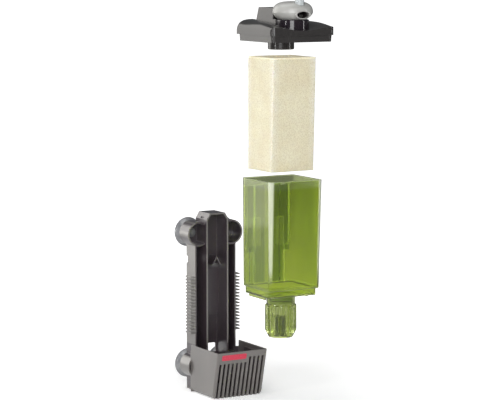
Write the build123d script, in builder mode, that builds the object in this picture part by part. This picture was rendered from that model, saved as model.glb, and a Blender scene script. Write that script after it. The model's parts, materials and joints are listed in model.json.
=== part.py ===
"""Internal power filter for an aquarium, in millimetres.

Origin: middle of the holder's resting face, in the plane of the tray's front edges.
+X to the right, +Y towards the aquarium glass, +Z up.
The holder stands on its foot. The canister, cartridge and pump head are drawn out of it, one above the other,
so every slide rests at its open end and closes by moving in the negative direction.
"""

from build123d import *
import math
import os

os.makedirs("parts", exist_ok=True)

# ---------------------------------------------------------------- driving dimensions
WALL = 2.2
RUNNING = 0.05  # radial clearance of parts that turn on each other
SLIDING = 0.3  # side clearance of parts that slide
PAST = 1.0  # how far a cut runs past the face that it opens

# holder
TRAY_WIDTH = 67.0
TRAY_DEPTH = 27.0
TRAY_TOP = 230.0
FLOOR = 2.5
CHANNEL_WIDTH = 36.0
CHANNEL_FRONT = -6.0
CHANNEL_TOP = 260.0
ROOF_CHAMFER = 5.5
ROOF_SHOULDER = 9.0
SOCKET_RADIUS = 18.0
SOCKET_X = 27.0
SOCKET_LOW_Z = 36.0
SOCKET_HIGH_Z = 230.0
BASKET_WIDTH = 81.0
BASKET_RIM_Z = 69.0
BASKET_RIM_DEPTH = 81.0
BASKET_FOOT_DEPTH = 64.0
FOOT_ROUNDING = 7.0
FRONT_ROUNDING = 2.5
FLANGE_WIDTH = 10.0
FLANGE_TOP = 60.0
LEDGE_REACH = 6.0
LEDGE_DEPTH = 24.0
LEDGE_HEIGHT = 25.0
SLOT_PITCH = 6.8
SHORT_SLOTS = 7
SHORT_SLOT_TOP = 52.0
TALL_SLOTS = 4
TALL_SLOT_TOP = 60.0
FIN_COUNT = 18
FIN_PITCH = 4.8
FIN_THICKNESS = 1.9
FIN_BASE_Z = 85.0
FIN_REACH = 7.0
FIN_DEPTH = 17.5
WINDOW_X = 6.5
WINDOW_TOP = 64.0
WINDOW_SIZE = 14.0
NOTCH_Z = 191.0
NOTCH_DEPTH = 9.0
NOTCH_HEIGHT = 10.0

# suction cups
LIP_RADIUS = 21.5
CUP_DEPTH = 9.0
CUP_HOLLOW = 4.0
STEM_RADIUS = 5.0

# guide shoe
SHOE_THICKNESS = 6.0
SHOE_HEIGHT = 82.0
SHOE_CURVE = 18.0
HOOK_X = 2.0
HOOK_FRONT = 0.0
HOOK_HEIGHT = 13.0
HOOK_SPREAD = 7.0
HOOK_WALL = 1.8

# how far each slide stands open
SHOE_RAISE = 105.0
DRAW = 144.0
CARTRIDGE_LIFT = 168.0
HEAD_LIFT = 24.5

# canister
CANISTER_GAP = 0.5
RIM_WIDTH = 82.0
RIM_DEPTH = 79.0
STEP_WIDTH = 80.0
STEP_DEPTH = 74.0
FOOT_WIDTH = 75.0
FOOT_DEPTH = 69.0
FOOT_HEIGHT = 10.0
FOOT_SETBACK = 1.0
FOOT_WALL = 1.8
CORNER_RADIUS = 4.0
INNER_CORNER = 2.5
BODY_HEIGHT = 150.0
SEAT_Z = 63.0
RAIL_PROUD = 5.2
RAIL_SINK = 0.25
# guide rails: distance from the middle, width, lower end above the step
RAILS = ((23.0, 7.0, 0.0), (30.0, 8.0, 52.0))
RAIL_TOP = 138.0
LIP_X = 33.0
LIP_AHEAD = -6.0
LIP_SIZE = (2.0, 44.0)
LIP_HEIGHT = 4.5
CATCH_X = -22.0
CATCH_SIZE = (4.0, 5.0)
PAD_THICKNESS = 0.8
NECK_RADIUS = 17.4
NECK_DROP = 12.0

# strainer
STRAINER_RADIUS = 21.8
STRAINER_DROP = 59.5
STRAINER_AHEAD = 36.5
STRAINER_WALL = 5.0
STRAINER_CHAMFER = 10.0
CAGE_DROP = 14.0
SLEEVE_WALL = 2.4
RIB_COUNT = 16
RIB_WIDTH = 5.0
RIB_PROUD = 1.4
INTAKE_WIDTH = 1.8
CORE_RADIUS = 5.0
CORE_HEIGHT = 26.0
CORE_WEB = 2.0

# filter cartridge
FOAM_WIDTH = 68.0
FOAM_TOP_DEPTH = 70.0
FOAM_FOOT_DEPTH = 64.6
FOAM_HEIGHT = 155.0
FOAM_SEAT = 4.0
FOAM_CLEARANCE = 0.4
FOAM_CORNER = 2.0
RECESS_RADIUS = 20.0
RECESS_DEPTH = 16.0

# pump head, heights measured from its own lower edge
HEAD_WIDTH = 98.0
HEAD_DEPTH = 97.0
HEAD_CORNER = 7.0
HEAD_OVERLAP = 4.4
SKIRT_TOP = 9.0
SKIRT_STEP = 2.0
SKIRT_TAPER = 4.0
POCKET_DEPTH = 82.0
PLATE_BASE = 6.0
COVER_SIDE_TOP = 13.0
BLOCK_TOP = 45.0
BLOCK_BASE = 14.0
BLOCK_BASE_SIZE = (44.0, 60.0)
BLOCK_TOP_SIZE = (33.0, 49.0)
BLOCK_SETBACK = 2.0
PUMP_AHEAD = 36.0
SCREW_X = 33.0
SCREW_AHEAD = (8.0, 70.0)
SCREW_RADIUS = 1.45
SCREW_HEAD_RADIUS = 2.9
SCREW_HEAD = 1.8
SCREW_LENGTH = 9.0
SCREW_CROSS = 3.6
SCREW_CROSS_WIDTH = 0.8
SCREW_BOSS = 4.0

# pump
STUB_RADIUS = 18.0
STUB_BORE = 15.8
STUB_BASE = -11.6
SPIGOT_RADIUS = 15.5
WELL_TOP = 27.0
WELL_RADIUS = 7.6
WELL_WALL = 1.0
SHAFT_RADIUS = 1.5
BUSH_RADIUS = 3.2
BUSH_HEIGHT = 1.4
IMPELLER_RADIUS = 13.0
BLADE_COUNT = 6
BLADE_HEIGHT = 6.0
BLADE_THICKNESS = 1.2
MAGNET_BASE = 10.8

# motor
CORE_BASE = 12.0
CORE_STACK = 13.0
LEG_OUTER = 13.0
LEG_PAST_PUMP = 6.0
YOKE_BACK = 9.3
YOKE_FRONT = 15.3
COIL_WINDING = 4.5
CABLE_RADIUS = 2.6
CABLE_AHEAD = 14.0
CABLE_Z = 34.0
GLAND_RADIUS = 4.0
GLAND_LENGTH = 11.0
GLAND_START = 13.0

# outlet
NOZZLE_AHEAD = 67.0
COLLAR_RADIUS = 22.0
COLLAR_BORE = 17.0
COLLAR_TOP = 30.0
NECK_BASE = 11.0
BALL_RADIUS = 27.4
BALL_WAIST = 39.2
BALL_TOP = 54.5
BALL_FOOT_RADIUS = 19.0
MOUTH_Z = 36.6
MOUTH_HALF_WIDTH = 10.0
MOUTH_HALF_HEIGHT = 4.6
HOOD_WALL = 1.9
HOOD_REACH = 28.2
AIR_AHEAD = 84.5
AIR_RADIUS = 6.3
AIR_SEAT = 47.0
AIR_STEM = 2.5
AIR_BORE = 1.2
AIR_HEIGHT = 15.0
AIR_SOCKET_DEPTH = 4.0
AIR_COUNTERBORE = 3.0

# ---------------------------------------------------------------- derived places
CANISTER_BACK = CHANNEL_FRONT - CANISTER_GAP - DRAW
CANISTER_Z = SEAT_Z + SHOE_RAISE
STEP_Z = CANISTER_Z + FOOT_HEIGHT
RIM_Z = STEP_Z + BODY_HEIGHT
FOAM_Z = CANISTER_Z + FOAM_SEAT + CARTRIDGE_LIFT
FOAM_TOP = FOAM_Z + FOAM_HEIGHT
HEAD_Z = RIM_Z - HEAD_OVERLAP + CARTRIDGE_LIFT + HEAD_LIFT
SOCKETS = [(x, z) for x in (-SOCKET_X, SOCKET_X) for z in (SOCKET_LOW_Z, SOCKET_HIGH_Z)]


def ahead(distance):
    """Y of a point that lies this far in front of the canister's back."""
    return CANISTER_BACK - distance


def level(y, z):
    """Horizontal plane of the column, at this Y and Z."""
    return Plane((0, y, z))


def head_level(distance, height):
    """Horizontal plane of the pump head."""
    return level(ahead(distance), HEAD_Z + height)


def upright(y, z):
    """Vertical plane across the column, in which a turned part's half section is drawn."""
    return Plane((0, y, z), x_dir=(1, 0, 0), z_dir=(0, -1, 0))


def sideways(x, y, z):
    """Vertical plane that looks along +X."""
    return Plane((x, y, z), x_dir=(0, 1, 0), z_dir=(1, 0, 0))


def spindle(y):
    """Vertical axis in the middle plane, at this Y."""
    return Axis((0, y, 0), (0, 0, 1))


def write(builder, node):
    """Labels a finished piece and writes it as its own STEP file."""
    builder.part.label = node
    export_step(builder.part, f"parts/{node}.step")


# ---------------------------------------------------------------- holder
def front_slots(count, first_x, top_z):
    """Sketches a row of upright slots in the basket's front."""
    for i in range(count):
        with Locations((first_x + i * SLOT_PITCH, top_z / 2)):
            Rectangle(SLOT_PITCH / 2, top_z)


def channel_outline(inset, base_z):
    """Sketches the channel's chamfered outline, this far inside its outer faces."""
    half = CHANNEL_WIDTH / 2 - inset
    roof = CHANNEL_TOP - inset
    shoulder = CHANNEL_TOP - ROOF_SHOULDER - inset / 2
    with BuildSketch(Plane.XZ.offset(inset - TRAY_DEPTH)) as outline:
        with BuildLine():
            Polyline(
                (-half, base_z),
                (-half, shoulder),
                (-half + ROOF_CHAMFER, roof),
                (half - ROOF_CHAMFER, roof),
                (half, shoulder),
                (half, base_z),
                close=True,
            )
        make_face()
    return outline.sketch


def socket_circles(radius, inset):
    """Sketches a circle at each suction cup's socket, this far inside the tray's back."""
    with BuildSketch(Plane.XZ.offset(inset - TRAY_DEPTH)) as circles:
        with Locations(*SOCKETS):
            Circle(radius)
    return circles.sketch


LEAN = math.atan((BASKET_RIM_DEPTH - BASKET_FOOT_DEPTH) / BASKET_RIM_Z)
FRONT_WALL = WALL / math.cos(LEAN)
with BuildPart() as holder_frame:
    # basket: side profile leaning back towards its foot
    with BuildSketch(Plane.YZ):
        with BuildLine():
            Polyline(
                (0, 0),
                (-BASKET_FOOT_DEPTH, 0),
                (-BASKET_RIM_DEPTH, BASKET_RIM_Z),
                (0, BASKET_RIM_Z),
                close=True,
            )
        make_face()
    extrude(amount=BASKET_WIDTH / 2, both=True)
    fillet(holder_frame.edges().filter_by(Axis.Y).group_by(Axis.Z)[0], radius=FOOT_ROUNDING)
    front_edges = holder_frame.faces().sort_by(Axis.Y)[0].edges()
    fillet(front_edges.filter_by(lambda e: abs(e.center().X) > SOCKET_X), radius=FRONT_ROUNDING)
    with BuildSketch(Plane.YZ):
        with BuildLine():
            Polyline(
                (0, FLOOR),
                (FRONT_WALL - BASKET_FOOT_DEPTH - FLOOR * math.tan(LEAN), FLOOR),
                (FRONT_WALL - BASKET_RIM_DEPTH - PAST * math.tan(LEAN), BASKET_RIM_Z + PAST),
                (0, BASKET_RIM_Z + PAST),
                close=True,
            )
        make_face()
    extrude(amount=BASKET_WIDTH / 2 - WALL, both=True, mode=Mode.SUBTRACT)
    # tray: back wall, side walls and floor, open to the front
    with BuildSketch(Plane.XY):
        with Locations((0, TRAY_DEPTH / 2)):
            Rectangle(TRAY_WIDTH, TRAY_DEPTH)
    extrude(amount=TRAY_TOP)
    with BuildSketch(Plane.XY.offset(FLOOR)):
        with Locations((0, (TRAY_DEPTH - WALL) / 2)):
            Rectangle(TRAY_WIDTH - 2 * WALL, TRAY_DEPTH - WALL)
    extrude(amount=TRAY_TOP, mode=Mode.SUBTRACT)
    # round sockets that carry the suction cups
    extrude(socket_circles(SOCKET_RADIUS, 0), amount=TRAY_DEPTH)
    extrude(socket_circles(SOCKET_RADIUS - WALL, WALL), amount=TRAY_DEPTH, mode=Mode.SUBTRACT)
    # flanges that join the basket's sides to the tray
    flange_x = (BASKET_WIDTH - FLANGE_WIDTH) / 2
    with BuildSketch(Plane.XZ.offset(-WALL)):
        with Locations((-flange_x, FLANGE_TOP / 2), (flange_x, FLANGE_TOP / 2)):
            Rectangle(FLANGE_WIDTH, FLANGE_TOP)
    extrude(amount=WALL)
    # ledges that the canister's foot rests on
    ledge_x = (BASKET_WIDTH - LEDGE_REACH) / 2
    with BuildSketch(Plane.XY.offset(SEAT_Z - LEDGE_HEIGHT)):
        with Locations((-ledge_x, -STRAINER_AHEAD + FOOT_WALL), (ledge_x, -STRAINER_AHEAD + FOOT_WALL)):
            Rectangle(LEDGE_REACH, LEDGE_DEPTH)
    extrude(amount=LEDGE_HEIGHT)
    # central channel with its closed, chamfered roof
    extrude(channel_outline(0, 0), amount=TRAY_DEPTH - CHANNEL_FRONT)
    extrude(channel_outline(WALL, FLOOR), amount=TRAY_DEPTH - CHANNEL_FRONT, mode=Mode.SUBTRACT)
    # window low in the channel's back wall, and the notch in the left wall's back edge
    with BuildSketch(Plane.XZ.offset(-TRAY_DEPTH - PAST)):
        with Locations((WINDOW_X, WINDOW_TOP - WINDOW_SIZE / 2)):
            RectangleRounded(WINDOW_SIZE, WINDOW_SIZE, WALL)
    extrude(amount=WALL + 2 * PAST, mode=Mode.SUBTRACT)
    with BuildSketch(Plane.YZ.offset(-TRAY_WIDTH / 2 - PAST)):
        with Locations((TRAY_DEPTH, NOTCH_Z)):
            Rectangle(NOTCH_DEPTH, NOTCH_HEIGHT)
    extrude(amount=WALL + PAST, mode=Mode.SUBTRACT)
    # recess in the roof's left shoulder
    with BuildSketch(Plane.YZ.offset(-CHANNEL_WIDTH / 2 - PAST)):
        with Locations((NOTCH_DEPTH, CHANNEL_TOP - ROOF_CHAMFER)):
            Rectangle(NOTCH_DEPTH, ROOF_CHAMFER)
    extrude(amount=WALL + PAST, mode=Mode.SUBTRACT)
    # cooling fins on both sides
    for i in range(FIN_COUNT):
        with BuildSketch(Plane.XY.offset(FIN_BASE_Z + i * FIN_PITCH)):
            with Locations((0, FIN_DEPTH / 2)):
                Rectangle(TRAY_WIDTH + 2 * FIN_REACH, FIN_DEPTH)
                Rectangle(TRAY_WIDTH - WALL, FIN_DEPTH, mode=Mode.SUBTRACT)
        extrude(amount=FIN_THICKNESS)
    # slots in the basket's front, cut through the front wall only
    with BuildSketch(Plane.XZ.offset(BASKET_FOOT_DEPTH - FOOT_ROUNDING)):
        front_slots(SHORT_SLOTS, (2 - SHORT_SLOTS) * SLOT_PITCH, SHORT_SLOT_TOP)
        front_slots(TALL_SLOTS, 2 * SLOT_PITCH, TALL_SLOT_TOP)
    extrude(amount=BASKET_RIM_DEPTH, mode=Mode.SUBTRACT)
    # holes for the suction cups' stems
    extrude(socket_circles(STEM_RADIUS + RUNNING, -PAST), amount=WALL + 2 * PAST, mode=Mode.SUBTRACT)
write(holder_frame, "holder_frame")

# ---------------------------------------------------------------- suction cups
CUP_PLACES = {
    "suction_cup_lower_left": (-SOCKET_X, SOCKET_LOW_Z),
    "suction_cup_lower_right": (SOCKET_X, SOCKET_LOW_Z),
    "suction_cup_upper_left": (-SOCKET_X, SOCKET_HIGH_Z),
    "suction_cup_upper_right": (SOCKET_X, SOCKET_HIGH_Z),
}
CUP_GAP = 0.2
CUP_FACE = TRAY_DEPTH + CUP_DEPTH
BULB_START = TRAY_DEPTH - WALL - CUP_GAP
for cup_name, (cup_x, cup_z) in CUP_PLACES.items():
    with BuildPart() as suction_cup:
        # half section about the stem's axis: hollow face, thin lip, stem and its retaining bulb
        with BuildSketch(Plane.YZ.offset(cup_x)):
            with BuildLine():
                Polyline(
                    (CUP_FACE - CUP_HOLLOW, cup_z),
                    (CUP_FACE - CUP_HOLLOW, cup_z + LIP_RADIUS - CUP_DEPTH),
                    (CUP_FACE, cup_z + LIP_RADIUS - WALL),
                    (CUP_FACE, cup_z + LIP_RADIUS),
                    (CUP_FACE - WALL / 2, cup_z + LIP_RADIUS),
                    (TRAY_DEPTH + CUP_GAP, cup_z + SOCKET_RADIUS - WALL),
                    (TRAY_DEPTH + CUP_GAP, cup_z + STEM_RADIUS),
                    (BULB_START, cup_z + STEM_RADIUS),
                    (BULB_START, cup_z + STEM_RADIUS + WALL),
                    (BULB_START - WALL, cup_z + STEM_RADIUS),
                    (BULB_START - 2 * WALL, cup_z),
                    close=True,
                )
            make_face()
        revolve(axis=Axis((cup_x, 0, cup_z), (0, 1, 0)), revolution_arc=360)
    write(suction_cup, cup_name)

# ---------------------------------------------------------------- guide shoe
SHOE_WIDTH = CHANNEL_WIDTH - 2 * WALL - 2 * SLIDING
SHOE_BACK = TRAY_DEPTH - WALL - SLIDING
SHOE_FACE = SHOE_BACK - SHOE_THICKNESS
SHOE_Z = FLOOR + CANISTER_GAP + SHOE_RAISE
SHOE_TOP = SHOE_Z + SHOE_HEIGHT
with BuildPart() as guide_shoe:
    # slide plate with a curved top
    with BuildSketch(Plane.YZ):
        with BuildLine():
            Polyline(
                (SHOE_FACE, SHOE_TOP - SHOE_CURVE),
                (SHOE_FACE, SHOE_Z),
                (SHOE_BACK, SHOE_Z),
                (SHOE_BACK, SHOE_TOP),
                (SHOE_BACK - HOOK_WALL, SHOE_TOP),
            )
            RadiusArc((SHOE_BACK - HOOK_WALL, SHOE_TOP), (SHOE_FACE, SHOE_TOP - SHOE_CURVE), -2 * SHOE_CURVE)
        make_face()
    extrude(amount=SHOE_WIDTH / 2, both=True)
    # hook in the shape of a chevron, which reaches the channel's mouth
    hook_top = SHOE_TOP + HOOK_HEIGHT / 2
    with BuildSketch(Plane.XZ.offset(HOOK_WALL - SHOE_BACK)):
        with BuildLine():
            Polyline(
                (HOOK_X, hook_top),
                (HOOK_X + HOOK_SPREAD, hook_top - HOOK_HEIGHT),
                (HOOK_X + HOOK_SPREAD - HOOK_WALL, hook_top - HOOK_HEIGHT),
                (HOOK_X, hook_top - 2 * HOOK_WALL),
                (HOOK_X - HOOK_SPREAD + HOOK_WALL, hook_top - HOOK_HEIGHT),
                (HOOK_X - HOOK_SPREAD, hook_top - HOOK_HEIGHT),
                close=True,
            )
        make_face()
    extrude(amount=SHOE_BACK - HOOK_WALL - HOOK_FRONT)
write(guide_shoe, "guide_shoe")

# ---------------------------------------------------------------- canister
RIM_CENTRE = ahead(RIM_DEPTH / 2)
STEP_CENTRE = ahead(STEP_DEPTH / 2)
FOOT_CENTRE = ahead(FOOT_SETBACK + FOOT_DEPTH / 2)
STRAINER_Y = ahead(STRAINER_AHEAD)
NECK_BORE = NECK_RADIUS - WALL
SEAL_RADIUS = 0.6  # section of the neck's sealing ring
SEAL_GROOVE_DEPTH = 1.3
SEAL_GROOVE_HEIGHT = 1.6
NECK_SEAL_DROP = 8.6
NECK_SEAL_Z = CANISTER_Z - NECK_SEAL_DROP
# guide pads of the back wall: inner edge, outer edge, lower end and upper end, outer edge wider above
PAD_INNER = 5.0
PAD_DEPTH = 1.2
PAD_LOW = (23.5, 2.0, 45.0)
PAD_HIGH = (33.0, 45.0, 138.0)
PAD_OPENING = (18.0, 12.0, 73.0, 39.0)


def canister_ring(centre, z, width, depth, radius):
    """Sketches the canister's rounded outline on a level plane."""
    with BuildSketch(level(centre, z)) as outline:
        RectangleRounded(width, depth, radius)
    return outline.sketch


def pad_outline(side):
    """Sketches one guide pad on the canister's back wall, seen from the front."""
    opening_x, opening_width, opening_z, opening_height = PAD_OPENING
    with BuildSketch(upright(ahead(WALL - PAD_THICKNESS / 2), STEP_Z)) as outline:
        for outer, base, top in (PAD_LOW, PAD_HIGH):
            with Locations((side * (PAD_INNER + outer) / 2, (base + top) / 2)):
                Rectangle(outer - PAD_INNER, top - base)
        with Locations((side * opening_x, opening_z)):
            Rectangle(opening_width, opening_height, mode=Mode.SUBTRACT)
    return outline.sketch


with BuildPart() as canister_shell:
    outer_step = canister_ring(STEP_CENTRE, STEP_Z, STEP_WIDTH, STEP_DEPTH, CORNER_RADIUS)
    outer_rim = canister_ring(RIM_CENTRE, RIM_Z, RIM_WIDTH, RIM_DEPTH, CORNER_RADIUS)
    loft(sections=[outer_step, outer_rim])
    extrude(canister_ring(FOOT_CENTRE, CANISTER_Z, FOOT_WIDTH, FOOT_DEPTH, CORNER_RADIUS), amount=FOOT_HEIGHT)
    # neck that the strainer turns on
    with BuildSketch(level(STRAINER_Y, CANISTER_Z - NECK_DROP)):
        Circle(NECK_RADIUS)
    extrude(amount=NECK_DROP)
    # cavity
    inner_step = canister_ring(
        STEP_CENTRE, STEP_Z + WALL, STEP_WIDTH - 2 * WALL, STEP_DEPTH - 2 * WALL, INNER_CORNER
    )
    inner_rim = canister_ring(RIM_CENTRE, RIM_Z, RIM_WIDTH - 2 * WALL, RIM_DEPTH - 2 * WALL, INNER_CORNER)
    loft(sections=[inner_step, inner_rim], mode=Mode.SUBTRACT)
    inner_foot = canister_ring(
        FOOT_CENTRE, CANISTER_Z + WALL, FOOT_WIDTH - 2 * FOOT_WALL, FOOT_DEPTH - 2 * FOOT_WALL, INNER_CORNER
    )
    extrude(inner_foot, amount=FOOT_HEIGHT + PAST, mode=Mode.SUBTRACT)
    with BuildSketch(level(STRAINER_Y, CANISTER_Z - NECK_DROP - PAST)):
        Circle(NECK_BORE)
    extrude(amount=NECK_DROP + WALL + 2 * PAST, mode=Mode.SUBTRACT)
    # groove for the strainer's seal
    with BuildSketch(level(STRAINER_Y, NECK_SEAL_Z - SEAL_GROOVE_HEIGHT / 2)):
        Circle(NECK_RADIUS + PAST)
        Circle(NECK_RADIUS - SEAL_GROOVE_DEPTH, mode=Mode.SUBTRACT)
    extrude(amount=SEAL_GROOVE_HEIGHT, mode=Mode.SUBTRACT)
    for side in (-1, 1):
        # thicker guide pads inside the back wall
        extrude(pad_outline(side), amount=PAD_DEPTH)
        # guide rails either side of the holder's channel, wider in their upper part
        for rail_x, rail_width, rail_base in RAILS:
            with BuildSketch(level(CANISTER_BACK + RAIL_PROUD / 2 - RAIL_SINK, STEP_Z + rail_base)):
                with Locations((side * rail_x, 0)):
                    Rectangle(rail_width, RAIL_PROUD)
            extrude(amount=RAIL_TOP - rail_base)
        # locating lips under the foot
        with BuildSketch(level(FOOT_CENTRE, CANISTER_Z - LIP_HEIGHT)):
            with Locations((side * LIP_X, -LIP_AHEAD)):
                Rectangle(*LIP_SIZE)
        extrude(amount=LIP_HEIGHT)
    # notch for the head's catch
    with BuildSketch(upright(ahead(RIM_DEPTH + PAST), RIM_Z)):
        with Locations((CATCH_X, 0)):
            Rectangle(*CATCH_SIZE)
    extrude(amount=-WALL - 2 * PAST, mode=Mode.SUBTRACT)
write(canister_shell, "canister_shell")

# ---------------------------------------------------------------- intake strainer
CAGE_TOP = CANISTER_Z - CAGE_DROP
STRAINER_BASE = CANISTER_Z - STRAINER_DROP
SLEEVE_TOP_GAP = 0.4
with BuildPart() as intake_strainer:
    # cage: a drum with outer ribs, cut to a chamfered foot
    with BuildSketch(level(STRAINER_Y, STRAINER_BASE)):
        Circle(STRAINER_RADIUS - RIB_PROUD)
        with PolarLocations(STRAINER_RADIUS - RIB_PROUD, RIB_COUNT):
            Rectangle(2 * RIB_PROUD, RIB_WIDTH)
    extrude(amount=CAGE_TOP - STRAINER_BASE)
    with BuildSketch(upright(STRAINER_Y, 0)):
        with BuildLine():
            Polyline(
                (0, STRAINER_BASE),
                (STRAINER_RADIUS - STRAINER_WALL, STRAINER_BASE),
                (STRAINER_RADIUS, STRAINER_BASE + STRAINER_CHAMFER),
                (STRAINER_RADIUS, CAGE_TOP - RIB_PROUD),
                (STRAINER_RADIUS - RIB_PROUD, CAGE_TOP),
                (0, CAGE_TOP),
                close=True,
            )
        make_face()
    revolve(axis=spindle(STRAINER_Y), mode=Mode.INTERSECT)
    # sleeve round the canister's neck
    with BuildSketch(level(STRAINER_Y, CAGE_TOP - PAST)):
        Circle(NECK_RADIUS + RUNNING + SLEEVE_WALL)
    extrude(amount=CANISTER_Z - SLEEVE_TOP_GAP - CAGE_TOP + PAST)
    # bore
    with BuildSketch(level(STRAINER_Y, STRAINER_BASE + WALL)):
        Circle(STRAINER_RADIUS - STRAINER_WALL)
    extrude(amount=CAGE_TOP - STRAINER_BASE, mode=Mode.SUBTRACT)
    with BuildSketch(level(STRAINER_Y, CANISTER_Z - NECK_DROP - PAST)):
        Circle(NECK_RADIUS + RUNNING)
    extrude(amount=NECK_DROP + 2 * PAST, mode=Mode.SUBTRACT)
    # intake slots between the ribs
    with BuildSketch(level(STRAINER_Y, STRAINER_BASE + STRAINER_WALL)):
        with PolarLocations(STRAINER_RADIUS - STRAINER_WALL / 2, RIB_COUNT, start_angle=180 / RIB_COUNT):
            Rectangle(2 * STRAINER_WALL, INTAKE_WIDTH)
    extrude(amount=CAGE_TOP - STRAINER_BASE - 2 * STRAINER_WALL, mode=Mode.SUBTRACT)
write(intake_strainer, "intake_strainer")

with BuildPart() as strainer_core:
    # cross that stiffens the cage and stops fish from being drawn up
    with BuildSketch(level(STRAINER_Y, STRAINER_BASE + WALL + SLIDING)):
        Rectangle(4 * CORE_RADIUS, CORE_WEB)
        Rectangle(CORE_WEB, 4 * CORE_RADIUS)
        Circle(CORE_RADIUS)
    extrude(amount=CORE_HEIGHT)
write(strainer_core, "strainer_core")


def sealing_ring(y, z, radius, section):
    """O-ring in the middle plane: spindle at Y, height Z, radius of the ring and of its section."""
    with BuildPart() as ring:
        with BuildSketch(upright(y, z)):
            with Locations((radius, 0)):
                Circle(section)
        revolve(axis=spindle(y), revolution_arc=360)
    return ring


write(sealing_ring(STRAINER_Y, NECK_SEAL_Z, NECK_RADIUS - SEAL_RADIUS - RUNNING, SEAL_RADIUS), "strainer_seal")

# ---------------------------------------------------------------- filter cartridge
FOAM_BACK = ahead(FOOT_SETBACK + FOOT_WALL + FOAM_CLEARANCE)
with BuildPart() as filter_cartridge:
    with BuildSketch(level(FOAM_BACK - FOAM_FOOT_DEPTH / 2, FOAM_Z)):
        RectangleRounded(FOAM_WIDTH, FOAM_FOOT_DEPTH, FOAM_CORNER)
    with BuildSketch(level(FOAM_BACK - FOAM_TOP_DEPTH / 2, FOAM_TOP)):
        RectangleRounded(FOAM_WIDTH, FOAM_TOP_DEPTH, FOAM_CORNER)
    loft()
    # recess that the pump's round stub sits in
    with BuildSketch(level(ahead(PUMP_AHEAD), FOAM_TOP - RECESS_DEPTH)):
        Circle(RECESS_RADIUS)
    extrude(amount=RECESS_DEPTH + PAST, mode=Mode.SUBTRACT)
write(filter_cartridge, "filter_cartridge")

# ---------------------------------------------------------------- pump head: base
SCREWS = [(x, ahead(distance)) for x in (-SCREW_X, SCREW_X) for distance in SCREW_AHEAD]
SPIGOT_WALL = 2.2
DUCT_WIDTH = 9.0
DUCT_BACK = 46.0
DUCT_FRONT = 57.0
DUCT_FLOOR = 0.8
PASSAGE_DEPTH = 4.0


def at_screws(radius, z):
    """Sketches a circle at every screw."""
    with BuildSketch(level(0, z)) as circles:
        with Locations(*SCREWS):
            Circle(radius)
    return circles.sketch


with BuildPart() as head_base:
    with BuildSketch(head_level((HEAD_DEPTH - SKIRT_STEP) / 2, SKIRT_TOP)):
        RectangleRounded(HEAD_WIDTH - 2 * SKIRT_STEP, HEAD_DEPTH - SKIRT_STEP, HEAD_CORNER - PAST)
    extrude(amount=-SKIRT_TOP, taper=SKIRT_TAPER)
    with BuildSketch(head_level(POCKET_DEPTH / 2 - SKIRT_STEP, -PAST)):
        Rectangle(RIM_WIDTH + PAST, POCKET_DEPTH)
    extrude(amount=PLATE_BASE + PAST, mode=Mode.SUBTRACT)
    # spigot that the chamber cover turns on, with a groove for its seal
    with BuildSketch(head_level(PUMP_AHEAD, 0)):
        Circle(SPIGOT_RADIUS)
        Circle(SPIGOT_RADIUS - SPIGOT_WALL, mode=Mode.SUBTRACT)
    extrude(amount=PLATE_BASE)
    with BuildSketch(head_level(PUMP_AHEAD, SPIGOT_WALL)):
        Circle(SPIGOT_RADIUS + PAST)
        Circle(SPIGOT_RADIUS - SEAL_GROOVE_DEPTH, mode=Mode.SUBTRACT)
    extrude(amount=SEAL_GROOVE_HEIGHT, mode=Mode.SUBTRACT)
    # passage for the impeller's neck, and the duct that leads the water to the nozzle
    with BuildSketch(head_level(PUMP_AHEAD, -PAST)):
        Circle(WELL_RADIUS - WELL_WALL)
    extrude(amount=SKIRT_TOP + 2 * PAST, mode=Mode.SUBTRACT)
    with BuildSketch(head_level(DUCT_BACK + PASSAGE_DEPTH / 2, PLATE_BASE - PAST)):
        Rectangle(DUCT_WIDTH, PASSAGE_DEPTH)
    extrude(amount=SKIRT_TOP, mode=Mode.SUBTRACT)
    with BuildSketch(head_level((DUCT_BACK + DUCT_FRONT) / 2, PLATE_BASE + DUCT_FLOOR)):
        Rectangle(DUCT_WIDTH, DUCT_FRONT - DUCT_BACK)
    extrude(amount=SKIRT_TOP, mode=Mode.SUBTRACT)
    extrude(at_screws(SCREW_RADIUS + SLIDING, HEAD_Z), amount=SKIRT_TOP + PAST, mode=Mode.SUBTRACT)
write(head_base, "head_base")

SEAL_STRIP = 3.8
SEAL_HEIGHT = 1.5
with BuildPart() as head_seal:
    with BuildSketch(head_level(RIM_DEPTH / 2, PLATE_BASE - SEAL_HEIGHT)):
        Rectangle(RIM_WIDTH, RIM_DEPTH)
        Rectangle(RIM_WIDTH - 2 * SEAL_STRIP, RIM_DEPTH - 2 * SEAL_STRIP, mode=Mode.SUBTRACT)
    extrude(amount=SEAL_HEIGHT)
write(head_seal, "head_seal")

# ---------------------------------------------------------------- pump head: cover
# sections of the shell: distance ahead of the back, crest distance from the side, crest height, valley height
SHELL_SECTIONS = [
    (0.0, 24.0, 29.0, 22.0),
    (31.0, 17.0, 27.6, 19.5),
    (66.0, 9.5, 25.5, 17.0),
    (HEAD_DEPTH, 3.0, 20.0, 15.7),
]
CAVITY_BACK = 2.4
COVER_GAP = 0.2
CAVITY_FRONT = PUMP_AHEAD + WELL_RADIUS + 2 * COVER_GAP
CAVITY_WIDTH = 33.0
UPPER_CAVITY = (26.0, 30.0)
UPPER_CAVITY_BACK = 6.0
PLATE_CAVITY_WIDTH = 86.0
PLATE_CAVITY_HEIGHT = 4.2


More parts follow.
